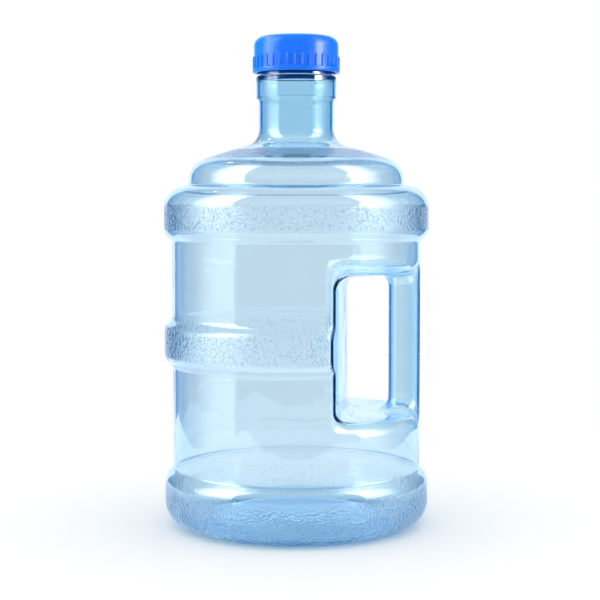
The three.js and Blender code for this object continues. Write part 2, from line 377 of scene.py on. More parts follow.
@dataclass
class MeshParts:
    """Points and faces that are gathered for one mesh, in millimetres."""

    points: list[np.ndarray] = field(default_factory=list)
    faces: list[Quad] = field(default_factory=list)
    count: int = 0

    def add_points(self, points: np.ndarray) -> np.ndarray:
        """Adds points and gives back their numbers.

        Args:
            points: Places, with their coordinates on the last axis.

        Returns:
            The number of each added point.
        """
        shaped = points.reshape(-1, 3)
        numbers = np.arange(self.count, self.count + len(shaped))
        self.points.append(shaped)
        self.count += len(shaped)
        return numbers.reshape(points.shape[:-1])

    def add_band(self, lower: np.ndarray, upper: np.ndarray, flip: bool = False) -> None:
        """Joins two closed rings of point numbers with quads.

        Args:
            lower: Point numbers of the first ring, anticlockwise seen from above.
            upper: Point numbers of the second ring, in the same order.
            flip: True where the faces look towards the axis.
        """
        following_lower = np.roll(lower, -1)
        following_upper = np.roll(upper, -1)
        quads = np.stack([lower, following_lower, following_upper, upper], axis=1)
        if flip:
            quads = quads[:, ::-1]
        self.faces.extend(map(tuple, quads.tolist()))

    def add_pole(self, ring: np.ndarray, height: float, flip: bool = False) -> None:
        """Closes a ring with a fan to a point on the axis.

        Args:
            ring: Point numbers of the ring, anticlockwise seen from above.
            height: Height of the point on the axis, in millimetres.
            flip: True where the faces look up.
        """
        pole = int(self.add_points(np.array([[0.0, 0.0, height]]))[0])
        for first, second in zip(ring.tolist(), np.roll(ring, -1).tolist()):
            self.faces.append((pole, first, second) if flip else (pole, second, first))

    def add_rings(self, rings: np.ndarray, flip: bool) -> np.ndarray:
        """Adds a stack of rings and the quads between them.

        Args:
            rings: Places as rings by meridians by coordinates.
            flip: True where the faces look towards the axis.

        Returns:
            The point numbers, ring by ring.
        """
        numbers = self.add_points(rings)
        for lower, upper in zip(numbers, numbers[1:]):
            self.add_band(lower, upper, flip)
        return numbers

    def build(self, name: str, masks: dict[str, Mask] | None = None) -> bpy.types.Object:
        """Makes the Blender object, in metres and smooth shaded.

        Args:
            name: Name of the object and its mesh.
            masks: Point attributes to add, each as a function of the places.

        Returns:
            The new object, linked to the scene.
        """
        mesh = bpy.data.meshes.new(name)
        mesh.from_pydata((np.concatenate(self.points) * MM).tolist(), [], self.faces)
        mesh.validate()
        mesh.polygons.foreach_set("use_smooth", [True] * len(mesh.polygons))
        places = np.empty(3 * len(mesh.vertices), dtype=np.float32)
        mesh.vertices.foreach_get("co", places)
        for label, mask in (masks or {}).items():
            layer = mesh.attributes.new(label, "FLOAT", "POINT")
            layer.data.foreach_set("value", mask(places.reshape(-1, 3) / MM).astype(np.float32))
        mesh.update()
        made = bpy.data.objects.new(name, mesh)
        bpy.context.scene.collection.objects.link(made)
        log.info("%s: %d points, %d faces", name, len(mesh.vertices), len(mesh.polygons))
        return made


def ring_points(radii: np.ndarray, heights: np.ndarray, angles: np.ndarray) -> np.ndarray:
    """Places rings of points around the axis.

    Args:
        radii: Radius of each ring, or of each point of each ring.
        heights: Height of each ring.
        angles: Angle of each meridian, in radians.

    Returns:
        Places as rings by meridians by coordinates.
    """
    wide = radii if radii.ndim == 2 else np.repeat(radii[:, None], len(angles), axis=1)
    tall = np.repeat(heights[:, None], len(angles), axis=1)
    return np.stack([wide * np.cos(angles), wide * np.sin(angles), tall], axis=2)


# ---------------------------------------------------------------------------
# The bottle's wall around the hand pocket
# ---------------------------------------------------------------------------


def cut_rounded(first: np.ndarray, second: np.ndarray, rounding: np.ndarray | float) -> np.ndarray:
    """Distance to where two solids meet, with their shared edge rounded off.

    Args:
        first: Signed distances to the first solid, negative inside.
        second: Signed distances to the second solid.
        rounding: Radius of the rounded edge, in millimetres.

    Returns:
        Signed distances to the space inside both.
    """
    corner = np.hypot(np.maximum(first + rounding, 0.0), np.maximum(second + rounding, 0.0))
    return np.minimum(-rounding, np.maximum(first, second)) + corner


class WallField:
    """Signed distance to the bottle's outer face: negative inside, in millimetres."""

    def __init__(self, bottle: BottleSizes, pocket: PocketSizes, outline: np.ndarray) -> None:
        """Keeps the sizes and the stretch of outline that the field needs.

        Args:
            bottle: Sizes of the bottle.
            pocket: Sizes of the hand pocket.
            outline: The bottle's outer outline.
        """
        self.bottle = bottle
        self.pocket = pocket
        self.outline = outline
        self.middle = pocket.middle(bottle.panel_top)
        self.grip_inner = bottle.panel_radius - pocket.grip_thickness
        self.back_wall = self.grip_inner - pocket.finger_gap

    def turned_distance(self, radius: np.ndarray, height: np.ndarray) -> np.ndarray:
        """Distance to the outline turned about the axis.

        Args:
            radius: Distances from the axis.
            height: Heights above the foot.

        Returns:
            Signed distances, negative inside the bottle.
        """
        place = np.stack([radius.ravel(), height.ravel()], axis=1)
        nearest = np.full(len(place), np.inf)
        for start, end in zip(self.outline, self.outline[1:]):
            edge = end - start
            share = np.clip((place - start) @ edge / (edge @ edge), 0.0, 1.0)
            gap = place - start - share[:, None] * edge
            nearest = np.minimum(nearest, np.hypot(gap[:, 0], gap[:, 1]))
        surface = np.interp(place[:, 1], self.outline[:, 1], self.outline[:, 0])
        return (nearest * np.sign(place[:, 0] - surface)).reshape(radius.shape)

    def distance(self, place: np.ndarray) -> np.ndarray:
        """Distance to the outer face with the pocket cut and the grip left standing.

        Args:
            place: Places with their coordinates on the last axis.

        Returns:
            Signed distances, negative inside the bottle.
        """
        x, y, z = place[..., 0], place[..., 1], place[..., 2]
        sizes = self.pocket
        radius = np.hypot(x, y)
        plain = radius - self.bottle.panel_radius
        past_ring = smooth_step(*sizes.ring_end, x)
        past_ring = past_ring * (z > self.bottle.base_ring_height + self.bottle.ring_depth)
        past_ring = past_ring * (z < self.bottle.panel_top - self.bottle.ring_depth)
        turned = self.turned_distance(radius, z)
        turned = turned + past_ring * (plain - turned)
        bow_radius = (sizes.bow_span**2 / 4.0 + sizes.bow**2) / (2.0 * sizes.bow)
        back = bow_radius - np.hypot(x - self.back_wall + bow_radius, y)
        from_middle = np.abs(z - self.middle) - sizes.height / 2.0
        air = cut_rounded(back, from_middle, sizes.rounding)
        corner_x = self.grip_inner - x + sizes.grip_rounding
        corner_y = np.abs(y) - sizes.grip_depth / 2.0 + sizes.grip_rounding
        outside = np.hypot(np.maximum(corner_x, 0.0), np.maximum(corner_y, 0.0))
        inside = np.minimum(np.maximum(corner_x, corner_y), 0.0)
        grip = outside + inside - sizes.grip_rounding
        air = cut_rounded(air, -grip, sizes.grip_flare)
        near_end = smooth_step(*sizes.end_reach, from_middle)
        near_end = near_end * smooth_step(*sizes.corner_reach, from_middle - back)
        near_grip = smooth_step(*sizes.grip_reach, x)
        lip = sizes.side_lip + (sizes.grip_lip - sizes.side_lip) * near_grip
        lip = lip + (sizes.end_lip - lip) * near_end
        return cut_rounded(turned, -air, lip)

    def slope(self, place: np.ndarray) -> np.ndarray:
        """Gradient of the distance.

        Args:
            place: Points around the jug.

        Returns:
            The gradient at each point.
        """
        nudge = 0.02
        parts = []
        for axis in range(3):
            step = np.zeros(3)
            step[axis] = nudge
            rise = self.distance(place + step) - self.distance(place - step)
            parts.append(rise / (2.0 * nudge))
        return np.stack(parts, axis=-1)

    def settle(self, place: np.ndarray, level: float, rounds: int = 3) -> np.ndarray:
        """Moves places onto the surface at a level of the field.

        Args:
            place: Places near the surface.
            level: Signed distance of the wanted surface.
            rounds: How many corrections to make.

        Returns:
            The places on the surface.
        """
        for _ in range(rounds):
            slope = self.slope(place)
            miss = (self.distance(place) - level) / np.maximum((slope**2).sum(axis=1), 0.2)
            place = place - np.clip(miss, -1.0, 1.0)[:, None] * slope
        return place


@dataclass
class NetSurface:
    """A surface found on a round grid: its places, faces, and first and last ring."""

    places: np.ndarray
    quads: np.ndarray
    bottom: np.ndarray
    top: np.ndarray


class RoundGrid:
    """A grid of angles, radii and heights on which a surface is found."""

    def __init__(self, angles: np.ndarray, radii: np.ndarray, heights: np.ndarray) -> None:
        """Lays out the grid's nodes.

        Args:
            angles: Angles of the nodes, one full turn without its end.
            radii: Radii of the nodes.
            heights: Heights of the nodes.
        """
        self.shape = (len(angles), len(radii), len(heights))
        turn, radius, height = np.meshgrid(angles, radii, heights, indexing="ij")
        self.nodes = np.stack([radius * np.cos(turn), radius * np.sin(turn), height], axis=-1)

    def corner(self, values: np.ndarray, turn: int, out: int, up: int) -> np.ndarray:
        """Values at one corner of every cell.

        Args:
            values: Values at the nodes.
            turn: 1 for the corner a node further round, otherwise 0.
            out: 1 for the corner a node further out, otherwise 0.
            up: 1 for the corner a node higher, otherwise 0.

        Returns:
            The value of each cell's corner.
        """
        turned = np.roll(values, -turn, axis=0)
        _, wide, tall = self.shape
        return turned[:, out : wide - 1 + out, up : tall - 1 + up]

    def surface(self, values: np.ndarray) -> NetSurface:
        """Finds the surface where values change sign.

        Args:
            values: Signed values at the nodes, negative inside.

        Returns:
            The surface, with its faces looking out of the negative side.
        """
        steps = [(turn, out, up) for turn in (0, 1) for out in (0, 1) for up in (0, 1)]
        corners = np.stack([self.corner(values, *step) for step in steps], axis=-1)
        crossed = (corners.min(axis=-1) < 0.0) & (corners.max(axis=-1) >= 0.0)
        places = np.stack([self.corner(self.nodes, *step)[crossed] for step in steps], axis=1)
        held = corners[crossed]
        total = np.zeros((len(held), 3))
        count = np.zeros(len(held))
        for first, start in enumerate(steps):
            for second, end in enumerate(steps):
                if second <= first or sum(a != b for a, b in zip(start, end)) != 1:
                    continue
                changes = (held[:, first] < 0.0) != (held[:, second] < 0.0)
                span = np.where(changes, held[:, first] - held[:, second], 1.0)
                share = np.where(changes, held[:, first] / span, 0.0)[:, None]
                crossing = places[:, first] + share * (places[:, second] - places[:, first])
                total += crossing * changes[:, None]
                count += changes
        numbers = np.full(crossed.shape, -1)
        numbers[crossed] = np.arange(len(held))
        quads = self.link(values, numbers)
        return NetSurface(
            total / count[:, None],
            quads,
            numbers[:, :, 0].max(axis=1),
            numbers[:, :, -1].max(axis=1),
        )

    def link(self, values: np.ndarray, numbers: np.ndarray) -> np.ndarray:
        """Makes a quad around every grid edge whose ends differ in sign.

        Args:
            values: Signed values at the nodes.
            numbers: Number of each cell's point, or -1.

        Returns:
            Quads of point numbers.
        """
        inside = values < 0.0
        before = np.roll(numbers, 1, axis=0)
        found = []
        differs = inside[:, :-1, 1:-1] != inside[:, 1:, 1:-1]
        ring = (before[:, :, :-1], numbers[:, :, :-1], numbers[:, :, 1:], before[:, :, 1:])
        found.append(self.oriented(ring, differs, inside[:, :-1, 1:-1]))
        ahead = np.roll(inside, -1, axis=0)
        differs = inside[:, 1:-1, 1:-1] != ahead[:, 1:-1, 1:-1]
        ring = (
            numbers[:, :-1, :-1],
            numbers[:, :-1, 1:],
            numbers[:, 1:, 1:],
            numbers[:, 1:, :-1],
        )
        found.append(self.oriented(ring, differs, inside[:, 1:-1, 1:-1]))
        differs = inside[:, 1:-1, :-1] != inside[:, 1:-1, 1:]
        ring = (before[:, :-1, :], before[:, 1:, :], numbers[:, 1:, :], numbers[:, :-1, :])
        found.append(self.oriented(ring, differs, inside[:, 1:-1, :-1]))
        return np.concatenate(found)

    @staticmethod
    def oriented(
        ring: tuple[np.ndarray, ...], differs: np.ndarray, inside: np.ndarray
    ) -> np.ndarray:
        """Picks the quads of the edges that differ and turns them to face outwards.

        Args:
            ring: Cell numbers around each edge, in order.
            differs: True where the edge's ends differ in sign.
            inside: True where the edge starts inside.

        Returns:
            Quads of point numbers.
        """
        quads = np.stack([part[differs] for part in ring], axis=1)
        away = inside[differs]
        quads[~away] = quads[~away][:, ::-1]
        return quads


def relaxed(surface: NetSurface, field_: WallField, level: float, rounds: int = 4) -> np.ndarray:
    """Evens out a found surface without leaving it.

    Args:
        surface: The surface to even out.
        field_: The field that it belongs to.
        level: Signed distance of the surface.
        rounds: How many times to even it out.

    Returns:
        The evened places. Its first and last rings keep theirs.
    """
    pinned = np.zeros(len(surface.places), dtype=bool)
    pinned[surface.bottom] = True
    pinned[surface.top] = True
    places = field_.settle(surface.places, level)
    quads = surface.quads
    for _ in range(rounds):
        total = np.zeros_like(places)
        count = np.zeros(len(places))
        for column in range(4):
            for neighbour in ((column + 1) % 4, (column + 3) % 4):
                np.add.at(total, quads[:, column], places[quads[:, neighbour]])
                np.add.at(count, quads[:, column], 1)
        pull = total / np.maximum(count, 1)[:, None] - places
        slope = field_.slope(places)
        slope /= np.maximum(np.linalg.norm(slope, axis=1), 1e-6)[:, None]
        pull -= (pull * slope).sum(axis=1)[:, None] * slope
        places = places + 0.6 * np.where(pinned[:, None], 0.0, pull)
        places = field_.settle(places, level, rounds=2)
    return places


# ---------------------------------------------------------------------------
# Shader node groups
# ---------------------------------------------------------------------------


class NodeKit:
    """Short ways to add and join nodes in one node tree."""

    def __init__(self, tree: bpy.types.NodeTree) -> None:
        """Keeps the tree that nodes are added to."""
        self.tree = tree

    def add(self, kind: str, **settings: object) -> bpy.types.Node:
        """Adds a node and sets its own properties.

        Args:
            kind: Blender's name of the node type.
            **settings: Properties to set on the node.

        Returns:
            The new node.
        """
        node = self.tree.nodes.new(kind)
        for name, value in settings.items():
            setattr(node, name, value)
        return node

    def join(self, source: bpy.types.NodeSocket, target: bpy.types.NodeSocket) -> None:
        """Links an output to an input."""
        self.tree.links.new(source, target)

    def feed(self, target: bpy.types.NodeSocket, value: object) -> None:
        """Links a socket to the target, or sets the target to a plain value.

        Args:
            target: Input that takes the value.
            value: Output socket, or a plain number or colour.
        """
        if isinstance(value, bpy.types.NodeSocket):
            self.join(value, target)
        else:
            target.default_value = value

    def mix(
        self, factor: bpy.types.NodeSocket, first: object, second: object
    ) -> bpy.types.NodeSocket:
        """Adds a node that mixes two colours.

        Args:
            factor: Share of the second colour.
            first: A socket or colour.
            second: A socket or colour.

        Returns:
            The mixed colour.
        """
        node = self.add("ShaderNodeMix", data_type="RGBA")
        self.join(factor, node.inputs["Factor"])
        self.feed(node.inputs["A"], first)
        self.feed(node.inputs["B"], second)
        return node.outputs["Result"]

    def bump(
        self,
        height: bpy.types.NodeSocket,
        strength: float,
        distance: float,
        normal: bpy.types.NodeSocket | None = None,
    ) -> bpy.types.NodeSocket:
        """Adds a bump node.

        Args:
            height: Height of the relief.
            strength: Strength of the relief, from 0 to 1.
            distance: Size of the relief where its height is 1, in metres.
            normal: Normal that the relief is added to.

        Returns:
            The bumped normal.
        """
        node = self.add("ShaderNodeBump")
        node.inputs["Strength"].default_value = strength
        node.inputs["Distance"].default_value = distance
        self.join(height, node.inputs["Height"])
        if normal is not None:
            self.join(normal, node.inputs["Normal"])
        return node.outputs["Normal"]

    def math(self, operation: str, first: object, second: object = 0.0) -> bpy.types.NodeSocket:
        """Adds a maths node.

        Args:
            operation: The operation's name.
            first: A socket or number.
            second: A socket or number.

        Returns:
            The node's output.
        """
        node = self.add("ShaderNodeMath", operation=operation)
        self.feed(node.inputs[0], first)
        self.feed(node.inputs[1], second)
        return node.outputs[0]

    def ramp(
        self, value: bpy.types.NodeSocket, low: float, high: float, start: float, end: float
    ) -> bpy.types.NodeSocket:
        """Adds a smooth change from start to end while a value goes from low to high.

        Args:
            value: The changing value.
            low: Value where the change begins.
            high: Value where it ends.
            start: Result below low.
            end: Result above high.

        Returns:
            The node's output.
        """
        node = self.add("ShaderNodeMapRange", interpolation_type="SMOOTHSTEP")
        self.join(value, node.inputs["Value"])
        for socket, number in zip(node.inputs[1:5], (low, high, start, end)):
            socket.default_value = number
        return node.outputs[0]


def new_group(name: str, inputs: dict[str, float], outputs: Sequence[str]) -> NodeKit:
    """Starts a shader node group with number inputs and outputs.

    Args:
        name: Name of the group.
        inputs: Input names and their usual values.
        outputs: Output names.
    """
    tree = bpy.data.node_groups.new(name, "ShaderNodeTree")
    for label, value in inputs.items():
        socket = tree.interface.new_socket(label, in_out="INPUT", socket_type="NodeSocketFloat")
        socket.default_value = value
    for label in outputs:
        tree.interface.new_socket(label, in_out="OUTPUT", socket_type="NodeSocketFloat")
    return NodeKit(tree)


def new_material(name: str) -> tuple[bpy.types.Material, NodeKit]:
    """Args:
        name: Name of the material.
    """
    made = bpy.data.materials.new(name)
    made.use_nodes = True
    made.node_tree.nodes.clear()
    return made, NodeKit(made.node_tree)


def pebble_group() -> bpy.types.NodeTree:
    """Makes the pebbled surface that moulds leave on a stippled band.

    Returns:
        A group that gives the height of the pebbles, which is largest at their crowns.
    """
    kit = new_group("pebbled_skin", {"Grain per metre": 900.0}, ["Height"])
    inputs = kit.add("NodeGroupInput")
    outputs = kit.add("NodeGroupOutput")
    place = kit.add("ShaderNodeTexCoord")
    cells = kit.add("ShaderNodeTexVoronoi", feature="F1")
    kit.join(place.outputs["Object"], cells.inputs["Vector"])
    kit.join(inputs.outputs[0], cells.inputs["Scale"])
    grain = kit.add("ShaderNodeTexNoise")
    grain.inputs["Detail"].default_value = 1.0
    kit.join(place.outputs["Object"], grain.inputs["Vector"])
    kit.join(kit.math("MULTIPLY", inputs.outputs[0], 0.55), grain.inputs["Scale"])
    domes = kit.math("SUBTRACT", 1.0, cells.outputs["Distance"])
    mixed = kit.math("ADD", domes, kit.math("MULTIPLY", grain.outputs["Fac"], 0.3))
    kit.join(mixed, outputs.inputs[0])
    return kit.tree


def moulding_group() -> bpy.types.NodeTree:
    """Makes the faint unevenness of moulded plastic.

    Returns:
        A group that gives a slow wave and a fine grain, both from 0 to 1.
    """
    grains = {"Wave per metre": 30.0, "Grain per metre": 1500.0}
    kit = new_group("moulded_plastic", grains, ["Wave", "Grain"])
    inputs = kit.add("NodeGroupInput")
    outputs = kit.add("NodeGroupOutput")
    place = kit.add("ShaderNodeTexCoord")
    for index in range(2):
        noise = kit.add("ShaderNodeTexNoise")
        noise.inputs["Detail"].default_value = 2.0
        kit.join(place.outputs["Object"], noise.inputs["Vector"])
        kit.join(inputs.outputs[index], noise.inputs["Scale"])
        kit.join(noise.outputs["Fac"], outputs.inputs[index])
    return kit.tree


# ---------------------------------------------------------------------------
# Finishes
# ---------------------------------------------------------------------------


class Feel(Enum):
    """How a moulded surface feels, and the roughness that goes with it."""

    POLISHED = 0.02
    SATIN = 0.24
    SOFT = 0.75


@dataclass(frozen=True)
class ClearFinish:
    """Clear tinted polycarbonate, with pebbles where the mesh is marked as stippled."""

    tint: tuple[float, float, float, float] = (0.937, 0.965, 0.974, 1.0)
    # Colour of the deep mask, and of the painted shade where the wall is seen edge on.
    deep_and_shade_tint: tuple[float, float, float, float] = (0.52, 0.80, 0.96, 1.0)
    # Painted highlight: the white that the pebbled rings are mixed towards.
    pebble_highlight: tuple[float, float, float, float] = (1.0, 1.0, 1.0, 1.0)
    # Painted shade: the dark blue between the pebbles and where they are seen edge on.
    pebble_shade_tint: tuple[float, float, float, float] = (0.22, 0.48, 0.84, 1.0)
    # Painted shade: how much the tint deepens where the wall is seen edge on.
    edge_shade: float = 0.75
    edge_sharpness: float = 3.0
    side_blend: float = 0.35
    # Painted shade between the pebbles, and on their sides and crowns where seen edge on.
    gap_heights: tuple[float, float] = (0.3, 0.65)
    gap_shade: float = 0.42
    gap_side_shade: float = 1.1
    crown_side_shade: float = 0.25
    # Painted highlight: the white share falls as the pebbled skin grows stronger.
    highlight_paleness: float = 0.5
    depth_colour: tuple[float, float, float, float] = (0.055, 0.65, 0.88, 1.0)
    depth_density: float = 110.0
    refraction: float = 1.585
    pebble_grain: float = 600.0
    pebble_height: float = 0.0003
    pebble_roughness: float = 0.05
    wave_strength: float = 0.25
    wave_height: float = 0.0006
    shadow_tint: tuple[float, float, float, float] = (0.965, 0.985, 0.995, 1.0)

    def material(
        self, pebbles: bpy.types.NodeTree, moulding: bpy.types.NodeTree
    ) -> bpy.types.Material:
        """Builds the material.

        Args:
            pebbles: The pebbled skin group.
            moulding: The moulded plastic group.

        Returns:
            The finished material.
        """
        made, kit = new_material("clear_blue_polycarbonate")
        shader = kit.add("ShaderNodeBsdfPrincipled")
        shader.inputs["Transmission Weight"].default_value = 1.0
        shader.inputs["IOR"].default_value = self.refraction
        stipple = kit.add("ShaderNodeAttribute", attribute_name="stipple").outputs["Fac"]
        skin = kit.add("ShaderNodeGroup", node_tree=pebbles)
        skin.inputs[0].default_value = self.pebble_grain
        self.add_tint(kit, shader, stipple, skin.outputs["Height"])
        self.add_skin(kit, shader, stipple, skin.outputs["Height"], moulding)
        self.finish_nodes(kit, shader)
        return made

    def add_tint(
        self,
        kit: NodeKit,
        shader: bpy.types.Node,
        stipple: bpy.types.NodeSocket,
        height: bpy.types.NodeSocket,
    ) -> None:
        """Deepens the tint by the deep mask and paints light and shade: darker blue where the wall
        is seen edge on, a pale highlight on the pebbled rings, and darker blue between the
        pebbles, most where they are seen edge on.

        Args:
            kit: The material's nodes.
            shader: The material's shader.
            stipple: Where the pebbled skin is.
            height: Height of the pebbles.
        """
        deep = kit.add("ShaderNodeAttribute", attribute_name="deep").outputs["Fac"]
        # Painted shade: the tint deepens where the wall is seen edge on.
        side = kit.add("ShaderNodeLayerWeight")
        side.inputs["Blend"].default_value = self.side_blend
        facing = side.outputs["Facing"]
        edge = kit.math("POWER", facing, self.edge_sharpness)
        depth = kit.math("ADD", deep, kit.math("MULTIPLY", edge, self.edge_shade))
        tint = kit.mix(depth, self.tint, self.deep_and_shade_tint)
        # Painted highlight: the pebbled rings are mixed towards white.
        paler = kit.math("SUBTRACT", 1.0, kit.math("MULTIPLY", stipple, self.highlight_paleness))
        highlighted = kit.mix(kit.math("MULTIPLY", stipple, paler), tint, self.pebble_highlight)
        # Painted shade: darker blue between the pebbles, and more where they are seen edge on.
        gaps = kit.ramp(height, *self.gap_heights, 1.0, 0.0)
        side_shade = kit.math("MULTIPLY", gaps, self.gap_side_shade)
        side_shade = kit.math("ADD", side_shade, self.crown_side_shade)
        painted_pebble_shade = kit.math("MULTIPLY", facing, side_shade)
        painted_pebble_shade = kit.math("ADD", painted_pebble_shade, kit.math("MULTIPLY", gaps, self.gap_shade))
        painted_pebble_shade = kit.math("MULTIPLY", painted_pebble_shade, stipple)
        kit.join(kit.mix(painted_pebble_shade, highlighted, self.pebble_shade_tint), shader.inputs["Base Color"])

    def add_skin(
        self,
        kit: NodeKit,
        shader: bpy.types.Node,
        stipple: bpy.types.NodeSocket,
        height: bpy.types.NodeSocket,
        moulding: bpy.types.NodeTree,
    ) -> None:
        """Adds the roughness, the slow unevenness of the wall and the pebbles.

        Args:
            kit: The material's nodes.
            shader: The material's shader.
            stipple: Where the pebbled skin is.
            height: Height of the pebbles.
            moulding: The moulded plastic group.
        """
        waves = kit.add("ShaderNodeGroup", node_tree=moulding)
        rough = kit.math("MULTIPLY", stipple, self.pebble_roughness)
        kit.join(kit.math("ADD", rough, Feel.POLISHED.value), shader.inputs["Roughness"])
        wavy = kit.bump(waves.outputs["Wave"], self.wave_strength, self.wave_height)
        pebbled = kit.math("MULTIPLY", height, stipple)
        kit.join(kit.bump(pebbled, 1.0, self.pebble_height, wavy), shader.inputs["Normal"])

    def finish_nodes(self, kit: NodeKit, shader: bpy.types.Node) -> None:
        """Adds the pale shadow, the colour of the wall's depth, and the output.

        Args:
            kit: Kit of the material's tree.
            shader: The material's main shader.
        """
        passing = kit.add("ShaderNodeBsdfTransparent")
        passing.inputs["Color"].default_value = self.shadow_tint
        path = kit.add("ShaderNodeLightPath")
        blend = kit.add("ShaderNodeMixShader")
        kit.join(path.outputs["Is Shadow Ray"], blend.inputs["Fac"])
        kit.join(shader.outputs[0], blend.inputs[1])
        kit.join(passing.outputs[0], blend.inputs[2])
        depth = kit.add("ShaderNodeVolumeAbsorption")
        depth.inputs["Color"].default_value = self.depth_colour
        depth.inputs["Density"].default_value = self.depth_density
        output = kit.add("ShaderNodeOutputMaterial")
        kit.join(blend.outputs[0], output.inputs["Surface"])
        kit.join(depth.outputs[0], output.inputs["Volume"])


@dataclass(frozen=True)
class MouldedFinish:
    """Opaque moulded plastic or foam with a fine grain."""

    name: str
    colour: tuple[float, float, float, float]
    light_colour: tuple[float, float, float, float]
    feel: Feel
    sheen: float = 0.0
    specular: float = 0.4
    mottle: float = 0.12
    roughness_spread: float = 0.08
    grain_per_metre: float = 1500.0
    grain_height: float = 0.00004
    grain_strength: float = 0.4

    def material(self, moulding: bpy.types.NodeTree) -> bpy.types.Material:
        """Builds the material.

        Args:
            moulding: The moulded plastic group.

        Returns:
            The finished material.
        """
        made, kit = new_material(self.name)
        shader = kit.add("ShaderNodeBsdfPrincipled")
        shader.inputs["Specular IOR Level"].default_value = self.specular
        shader.inputs["Sheen Weight"].default_value = self.sheen
        shader.inputs["Sheen Tint"].default_value = self.light_colour
        skin = kit.add("ShaderNodeGroup", node_tree=moulding)
        skin.inputs[1].default_value = self.grain_per_metre
        patches = kit.math("MULTIPLY", skin.outputs["Wave"], self.mottle)
        colour = kit.mix(patches, self.colour, self.light_colour)
        kit.join(colour, shader.inputs["Base Color"])
        rough = kit.math("MULTIPLY", skin.outputs["Grain"], self.roughness_spread)
        kit.join(kit.math("ADD", rough, self.feel.value), shader.inputs["Roughness"])
        grainy = kit.bump(skin.outputs["Grain"], self.grain_strength, self.grain_height)
        kit.join(grainy, shader.inputs["Normal"])
        output = kit.add("ShaderNodeOutputMaterial")
        kit.join(shader.outputs[0], output.inputs["Surface"])
        return made


# ---------------------------------------------------------------------------
# Sub-assemblies
# ---------------------------------------------------------------------------


